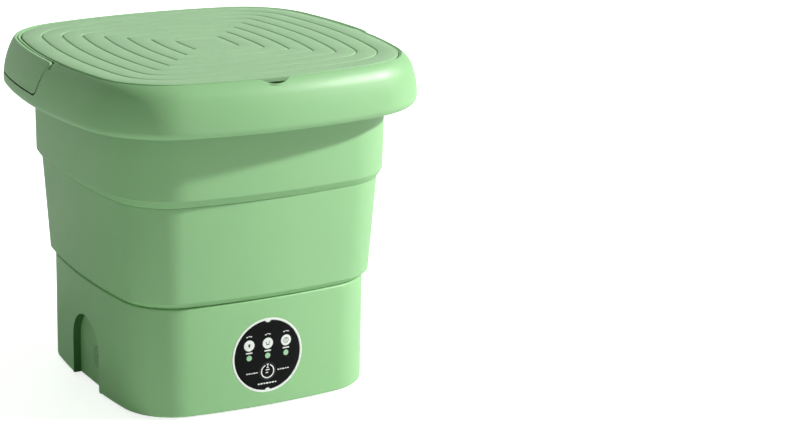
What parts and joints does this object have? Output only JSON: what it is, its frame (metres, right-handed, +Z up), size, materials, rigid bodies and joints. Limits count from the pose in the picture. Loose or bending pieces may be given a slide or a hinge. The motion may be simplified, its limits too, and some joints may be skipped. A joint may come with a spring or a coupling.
{
  "type": "folding mini washer",
  "caption": "Portable mini washer with a telescoping square tub, domed collar, flat lift-off lid, bail handle, round control panel, geared impeller drive and drain plug.",
  "frame": {"origin": "centre of the plane that the rubber feet stand on", "axes": "+Z up, -Y towards the control panel, +X to the right when facing the panel"},
  "size_m": [0.2856, 0.2856, 0.2615],
  "materials": {
    "green_shell": "satin moulded plastic",
    "green_wall": "satin moulded plastic",
    "green_lid": "fine grained matte plastic",
    "soft_web": "soft satin elastomer",
    "green_plug": "soft satin elastomer",
    "grey_seal": "soft matte rubber",
    "foot_rubber": "matte rubber",
    "tub_plastic": "satin moulded plastic",
    "machine_plastic": "plain moulded plastic",
    "gear_nylon": "natural nylon",
    "steel": "bright steel",
    "brass": "turned brass",
    "magnet": "dark ferrite and steel laminations",
    "board_green": "solder mask",
    "black_plastic": "moulded black plastic",
    "white_plastic": "satin white plastic and print",
    "black_gloss": "polished black plastic",
    "lamp": "clear tinted light pipe"
  },
  "bodies": {
    "base": {"base_shell": "green_shell", "board_components": "black_plastic", "board_screws": "steel", "bottom_cover": "tub_plastic", "cover_screws": "steel", "dc_jack": "black_plastic", "dc_jack_contact": "brass", "drain_elbow": "machine_plastic", "drain_seal": "grey_seal", "gearbox_housing": "machine_plastic", "gearbox_plate": "machine_plastic", "gearbox_screws": "steel", "led_lenses": "lamp", "lower_bush": "brass", "main_board": "board_green", "motor_can": "steel", "motor_end_cap": "machine_plastic", "motor_magnets": "magnet", "motor_screws": "steel", "motor_terminals": "brass", "panel_board": "board_green", "panel_lamps": "lamp", "panel_marks": "white_plastic", "panel_ring": "white_plastic", "panel_window": "black_gloss", "power_switch": "black_plastic", "rubber_feet": "foot_rubber", "shaft_seal": "grey_seal", "tub_floor": "tub_plastic", "upper_bush": "brass"},
    "middle": {"middle_ring": "green_wall", "lower_web": "soft_web"},
    "upper": {"upper_ring": "green_wall", "upper_web": "soft_web"},
    "collar": {"collar": "green_shell", "lid_ledge": "green_shell", "guide_sleeve": "green_shell", "handle_pins": "steel"},
    "handle": {"handle": "green_shell"},
    "lid": {"lid": "green_lid", "lid_gasket": "grey_seal"},
    "impeller": {"impeller": "tub_plastic", "impeller_cap": "tub_plastic", "impeller_screw": "steel", "output_shaft": "steel", "output_gear": "gear_nylon"},
    "motor_rotor": {"motor_shaft": "steel", "motor_armature": "magnet", "motor_pinion": "brass"},
    "power_button": {"power_button": "black_gloss", "power_sign": "white_plastic"},
    "drain_plug": {"drain_plug": "green_plug"}
  },
  "joints": [
    {"name": "middle_fold", "type": "slide", "parent": "base", "child": "middle", "axis": [0, 0, -1], "range_m": [0, 0.056], "deforming": ["lower_web"]},
    {"name": "upper_fold", "type": "slide", "parent": "middle", "child": "upper", "axis": [0, 0, -1], "range_m": [0, 0.069], "deforming": ["upper_web"]},
    {"name": "collar_fold", "type": "slide", "parent": "upper", "child": "collar", "axis": [0, 0, -1], "range_m": [0, 0.016]},
    {"name": "lid_lift", "type": "slide", "parent": "collar", "child": "lid", "axis": [0, 0, 1], "range_m": [0, 0.042]},
    {"name": "handle_swing", "type": "hinge", "parent": "collar", "child": "handle", "pos_m": [0, -0.0045, 0.252], "axis": [1, 0, 0], "range_deg": [0, 90]},
    {"name": "impeller_spin", "type": "hinge", "parent": "base", "child": "impeller", "pos_m": [0, 0, 0.078], "axis": [0, 0, 1], "continuous": true},
    {"name": "motor_spin", "type": "hinge", "parent": "base", "child": "motor_rotor", "pos_m": [0, 0.03, 0.03], "axis": [0, 0, 1], "continuous": true},
    {"name": "power_press", "type": "slide", "parent": "base", "child": "power_button", "axis": [0, 1, 0], "range_m": [0, 0.0008], "stiffness_N_per_m": 600},
    {"name": "drain_pull", "type": "slide", "parent": "base", "child": "drain_plug", "axis": [-1, 0, 0], "range_m": [0, 0.015]}
  ],
  "couplings": [
    {"joint": "motor_spin", "follows": "impeller_spin", "ratio": -4}
  ]
}
